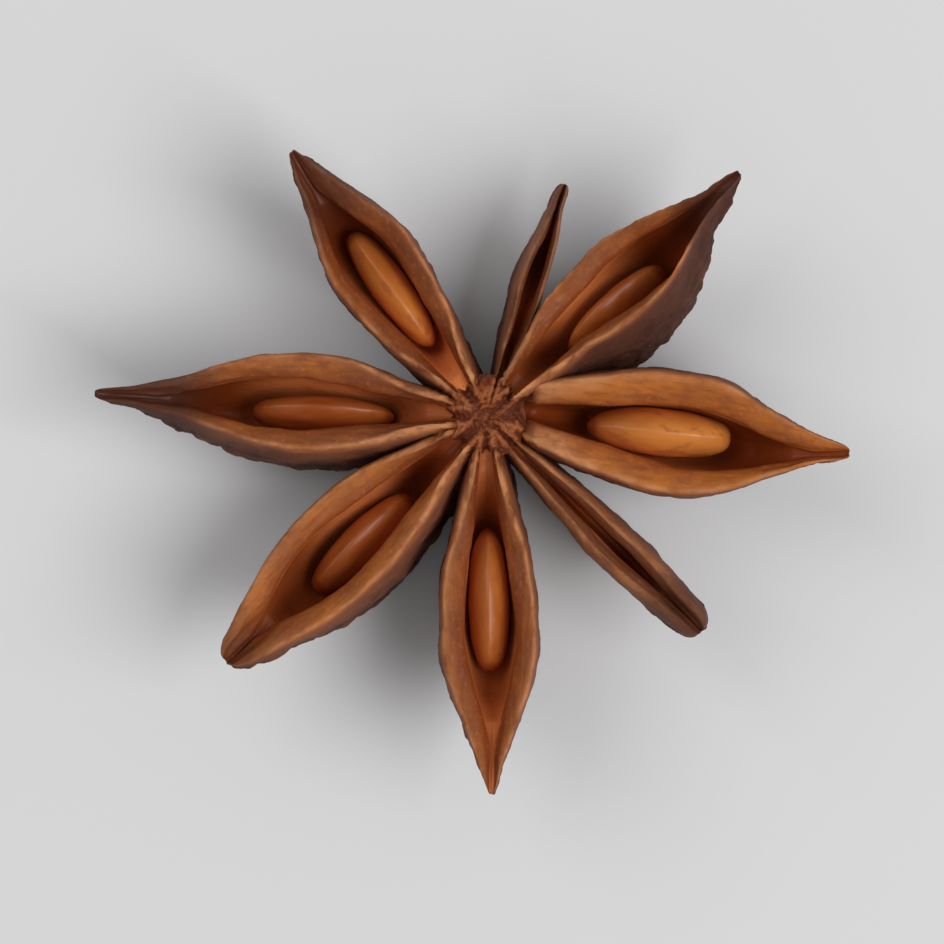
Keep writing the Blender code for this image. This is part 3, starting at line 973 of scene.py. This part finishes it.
@dataclass
class Seed:
    """One glossy seed, flattened sideways and lying on edge in its carpel."""

    carpel: Carpel
    length: float
    half_width: float
    half_height: float
    tone: float = 0.5  # how light the coat is, from 0 to 1
    fade: float = 0.0  # how much lighter it is at the outer end than at the inner
    rows: int = 90
    sides: int = 72

    def skin(self) -> Skin:
        """The seed's surface round its own middle, in the carpel's direction.

        Returns:
            The grid, ready to build.
        """
        along = -np.cos(np.linspace(0.03, np.pi - 0.03, self.rows))[:, None]
        turn = 2.0 * np.pi * np.arange(self.sides)[None] / self.sides
        swell = np.sqrt(1.0 - along**2) ** (0.86 - 0.12 * along)
        side = np.sign(np.cos(turn)) * np.abs(np.cos(turn)) ** 1.15
        across = self.half_width * swell * side * (0.97 + 0.03 * along)
        height = self.half_height * swell * np.sin(turn)
        x = 0.5 * self.length * along + 0.0 * turn
        lean = math.radians(self.carpel.roll)
        aside = across * math.cos(lean) + height * math.sin(lean)
        up = height * math.cos(lean) - across * math.sin(lean)
        bearing = math.radians(self.carpel.bearing)
        across_x = x * math.cos(bearing) - aside * math.sin(bearing)
        across_y = x * math.sin(bearing) + aside * math.cos(bearing)
        points = np.stack([across_x, across_y, up], axis=-1)
        grain = np.stack([x + 11.0 * self.carpel.seed, across, height], axis=-1)
        tone = self.tone + 0.5 * self.fade * along - 0.5 * smooth(0.82, 1.0, np.abs(along))
        marks = {Mark.TONE_AND_PAINTED_LIGHT: tone + 0.0 * turn, Mark.GRAIN: grain}
        skin = Skin("seed_coat_" + self.carpel.name, points, marks)
        noise = Noise(200 + self.carpel.seed)
        seam = bell(self.half_width * np.cos(turn), 0.0, 0.14) * (np.sin(turn) > 0.0)
        skin.raise_by(0.05 * noise.lumps(grain * np.array([0.45, 0.8, 0.8]), 2) + 0.03 * seam * swell)
        return skin


@dataclass(frozen=True)
class Softbox:
    """A square lamp, in metres and watts."""

    name: str
    place: tuple[float, float, float]
    size: float
    power: float


@dataclass
class Studio:
    """Pale floor, soft lights and a camera that looks straight down."""

    fill: float = 0.80  # how much of the frame's width the pod fills
    distance: float = 0.60  # from the camera to the pod, in metres
    sky_strength: float = 0.29
    floor_size: float = 6.0  # metres
    boxes: tuple[Softbox, ...] = (
        Softbox("softbox_right", (0.40, -0.13, 0.55), 0.45, 2.8),
        Softbox("softbox_left", (-0.40, 0.22, 0.50), 0.45, 1.0),
    )

    def floor(self) -> None:
        """A wide pale floor."""
        place = (0.0, 0.0, CAD_BOX[0][2])
        bpy.ops.mesh.primitive_plane_add(size=self.floor_size, location=place)
        ground = bpy.context.object
        ground.name = "floor"
        ground.data.materials.append(FloorFinish().build())

    def lights(self) -> None:
        """Softboxes aimed at the pod."""
        for box in self.boxes:
            lamp = bpy.data.lights.new(box.name, "AREA")
            lamp.size = box.size
            lamp.energy = box.power
            holder = bpy.data.objects.new(box.name, lamp)
            holder.location = box.place
            holder.rotation_euler = Vector(box.place).to_track_quat("Z", "Y").to_euler()
            bpy.context.scene.collection.objects.link(holder)

    def sky(self) -> None:
        """Even light from all round."""
        world = bpy.data.worlds.new("studio")
        world.use_nodes = True
        background = world.node_tree.nodes["Background"]
        background.inputs["Color"].default_value = (1.0, 1.0, 1.0, 1.0)
        background.inputs["Strength"].default_value = self.sky_strength
        bpy.context.scene.world = world

    def camera(self) -> None:
        """Looks straight down on the middle of the pod."""
        low, high = CAD_BOX
        middle = 0.5 * (Vector(low) + Vector(high))
        lens = bpy.data.cameras.new("camera")
        lens.sensor_width = 36.0
        lens.lens = 36.0 * self.distance * self.fill / (high[0] - low[0])
        lens.clip_start = 0.01
        holder = bpy.data.objects.new("camera", lens)
        holder.location = (middle.x, middle.y, high[2] + self.distance)
        bpy.context.scene.collection.objects.link(holder)
        bpy.context.scene.camera = holder


@dataclass
class Pod:
    """The whole pod: husk and seeds."""

    carpels: list[Carpel] = field(default_factory=lambda: [
        # e: its lips near the column carry a painted highlight.
        Carpel("e", -5.7, 15.7, 2.72, 1.36, 6.9, widest=0.53, beak=1.8, tip=0.14, heel=0.32,
               shut=0.98, closing=0.46, shift=-0.30, swing=0.5, wave=0.4, lip_start=1.8, pinch=0.15,
               tone=0.74, root_tone=1.8, dark_tip=0.0, painted_light_near=0.0, dull=0.08, seed=11),
        # ne: its outside is darkened with painted shade.
        Carpel("ne", 41.0, 15.1, 1.95, 1.20, 7.0, beak=2.4, tip=0.14, heel=0.20,
               shut=1.06, closing=0.38, shift=-0.15, roll=23.0, rise=0.9, wave=2.1,
               tone=0.38, root_tone=0.16, dark_tip=0.8, dark_from=0.70, painted_light_near=0.12, dull=0.1,
               painted_wall_shade=0.7, seed=12),
        # nne: its low tone is partly painted shade.
        Carpel("nne", 72.0, 10.6, 0.64, 0.30, 5.0, tip=0.40, heel=0.20, shift=-0.05,
               roll=-5.0, rise=-0.5, drop=0.9, wave=3.3, flare=0.0, thin=0.7,
               tone=-0.1, root_tone=-0.1, dark_tip=0.3, dull=0.55, seed=13, rows=110),
        # nw: its low tone is partly painted shade.
        Carpel("nw", 126.2, 14.1, 2.00, 1.15, 6.9, widest=0.55, beak=1.5, tip=0.14, heel=0.20,
               shut=0.93, closing=0.36, shift=0.20, rise=0.2, wave=5.0,
               tone=0.18, root_tone=0.0, dark_tip=0.65, dark_from=0.66, painted_light_near=1.0, dull=0.1, seed=14),
        Carpel("w", 178.0, 16.8, 2.25, 1.15, 7.0, widest=0.47, beak=2.2, tip=0.14, heel=0.20,
               shut=0.90, closing=0.38, roll=-12.0, wave=1.2,
               tone=0.48, root_tone=-0.3, dark_tip=0.9, dark_from=0.64, painted_light_near=0.22, dull=0.22, seed=15),
        Carpel("sw", 224.8, 15.3, 2.30, 1.30, 7.0, widest=0.55, beak=1.15, tip=0.30, heel=0.20,
               shut=0.97, closing=0.40, shift=-0.10, roll=-12.0, wave=4.2,
               tone=0.64, root_tone=0.3, dark_tip=0.6, painted_light_near=0.0, painted_light_far=0.1, dull=0.15, seed=16),
        Carpel("s", 270.9, 16.2, 2.15, 1.16, 6.9, widest=0.56, beak=1.35, tip=0.10, heel=0.16,
               shut=0.95, closing=0.42, shift=0.10, rise=0.4, wave=0.0,
               tone=0.26, root_tone=0.14, dark_tip=0.05, painted_light_near=0.45, painted_light_far=0.7, dull=0.12, seed=17),
        Carpel("se", 315.4, 13.1, 1.02, 0.26, 6.2, widest=0.62, beak=0.85, tip=0.68, heel=0.25,
               roll=-1.0, rise=-0.3, drop=0.5, wave=2.6, flare=0.25, thin=0.65,
               tone=0.15, root_tone=0.25, dark_tip=0.7, dark_from=0.72, dull=0.5, seed=18, rows=120),
    ])
    seeds: dict[str, tuple[float, ...]] = field(default_factory=lambda: {
        "e": (6.2, 1.08, 1.75, 0.80, 0.8),
        "ne": (5.4, 0.74, 1.75, 0.40),
        "nw": (6.0, 0.84, 1.75, 0.62, -0.3),
        "w": (6.1, 0.78, 1.70, 0.24),
        "sw": (5.8, 0.88, 1.75, 0.28),
        "s": (6.2, 0.92, 1.75, 0.44),
    })

    def seat(self) -> Vector:
        """Where the column's axis meets the level of the lips, so that the tips fit the box.

        Returns:
            The place in metres.
        """
        low, high = CAD_BOX
        end, level = np.array([1.0]), np.array([0.0])
        tips = [carpel.place(end, level, level)[0] for carpel in self.carpels]
        across = [tip[0] for tip in tips]
        x = 0.5 * (low[0] + high[0]) - 0.5 * MM * (min(across) + max(across))
        y = low[1] - MM * min(tip[1] for tip in tips)
        return Vector((x, y, low[2] + MM * Carpel.FLOOR))

    def build(self) -> None:
        """Builds and dresses every piece."""
        seat = self.seat()
        husk = HuskFinish().build()
        coat = SeedFinish().build()
        for maker in [*self.carpels, Column(self.carpels)]:
            piece = maker.skin().build(husk, seat)
            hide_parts("pod")
            log.info("%s: %d faces", piece.name, len(piece.data.polygons))
        for carpel in self.carpels:
            if carpel.name in self.seeds:
                node = "seed_" + carpel.name
                low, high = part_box(node)
                piece = Seed(carpel, *self.seeds[carpel.name]).skin().build(coat, 0.5 * (low + high))
                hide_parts(node)
                log.info("%s: %d faces", piece.name, len(piece.data.polygons))


def main() -> None:
    """Builds the pod and its studio."""
    logging.basicConfig(level=logging.INFO, format="%(message)s")
    Pod().build()
    studio = Studio()
    studio.floor()
    studio.lights()
    studio.sky()
    studio.camera()
    bpy.context.scene.view_settings.view_transform = "Standard"


if __name__ == "__main__":
    main()
